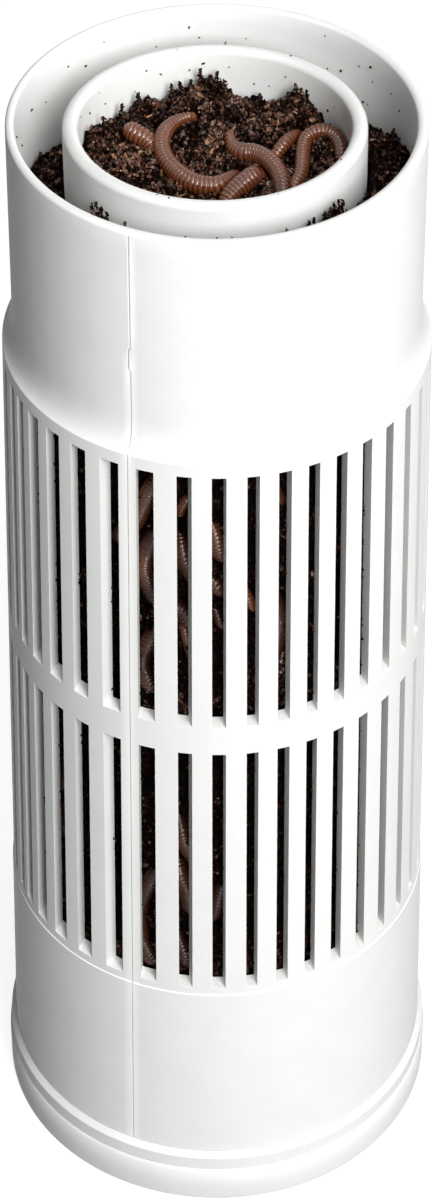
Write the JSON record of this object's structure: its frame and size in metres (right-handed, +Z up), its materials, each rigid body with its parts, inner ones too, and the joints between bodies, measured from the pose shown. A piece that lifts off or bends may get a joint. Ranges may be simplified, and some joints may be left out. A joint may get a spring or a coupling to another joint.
{
  "type": "wormery",
  "caption": "Round worm composting tower of white moulded plastic with a slotted cage, a stepped base cap and an inner feeding tube, filled with compost and earthworms.",
  "frame": {"origin": "on the ground in the middle of the base cap", "axes": "+Z up along the tower, -Y towards the front of the picture, +X to its right"},
  "size_m": [0.1802, 0.1802, 0.4865],
  "materials": {
    "white_plastic": "soft satin, white",
    "floor_plastic": "matt, white",
    "compost": "moist crumbly compost",
    "worm": "wet, ringed skin"
  },
  "bodies": {
    "base": {"base_cap": "white_plastic", "compost_ring": "compost", "side_worm_1": "worm", "side_worm_2": "worm", "side_worm_3": "worm", "side_worm_4": "worm", "side_worm_5": "worm", "side_worm_6": "worm", "side_worm_7": "worm", "side_worm_8": "worm", "side_worm_9": "worm", "side_worm_10": "worm", "side_worm_11": "worm", "side_worm_12": "worm", "side_worm_13": "worm", "side_worm_14": "worm"},
    "tower": {"tower_body": "white_plastic"},
    "feed_tube": {"inner_tube": "white_plastic", "tube_floor": "floor_plastic", "compost_core": "compost", "top_worm_1": "worm", "top_worm_2": "worm", "top_worm_3": "worm", "top_worm_4": "worm", "top_worm_5": "worm", "top_worm_6": "worm"}
  },
  "joints": [
    {"name": "tower_lift", "type": "slide", "parent": "base", "child": "tower", "axis": [0, 0, 1], "range_m": [0, 0.49]},
    {"name": "feed_tube_lift", "type": "slide", "parent": "base", "child": "feed_tube", "axis": [0, 0, 1], "range_m": [0, 0.49]}
  ]
}
